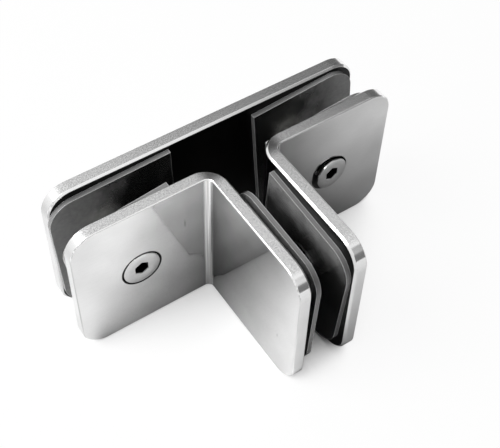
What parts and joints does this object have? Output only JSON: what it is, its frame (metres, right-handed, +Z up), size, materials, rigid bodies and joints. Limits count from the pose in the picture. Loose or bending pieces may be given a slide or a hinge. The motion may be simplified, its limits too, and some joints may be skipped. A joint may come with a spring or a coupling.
{
  "type": "glass panel connector",
  "caption": "Three-way clamp that joins two in-line glass panes and a third at right angles, with a flat back plate, folded jaws, clear pads and countersunk socket screws.",
  "frame": {"origin": "middle of the back plate's length, on its inner face at the inner end of the stem slot, level with the lower edges of the plate and jaws", "axes": "+X along the back plate to the right, -Y out along the stem slot between the jaws, +Z up along the height of the plate"},
  "size_m": [0.1074, 0.0639, 0.05],
  "materials": {
    "polished_stainless": "mirror-polished stainless steel sheet, bevels polished too",
    "screw_steel": "bright turned stainless steel",
    "clear_pvc": "clear soft plastic sheet, smooth faces and sawn edges",
    "nylon": "natural translucent nylon"
  },
  "bodies": {
    "root": {"back_plate": "polished_stainless", "left_jaw": "polished_stainless", "right_jaw": "polished_stainless", "left_post": "screw_steel", "right_post": "screw_steel", "stem_post": "screw_steel", "left_sleeve": "nylon", "right_sleeve": "nylon", "stem_sleeve": "nylon", "left_screw": "screw_steel", "right_screw": "screw_steel", "stem_screw": "screw_steel", "back_left_pad": "clear_pvc", "back_right_pad": "clear_pvc", "front_left_pad": "clear_pvc", "front_right_pad": "clear_pvc", "stem_left_pad": "clear_pvc", "stem_right_pad": "clear_pvc"}
  },
  "joints": []
}
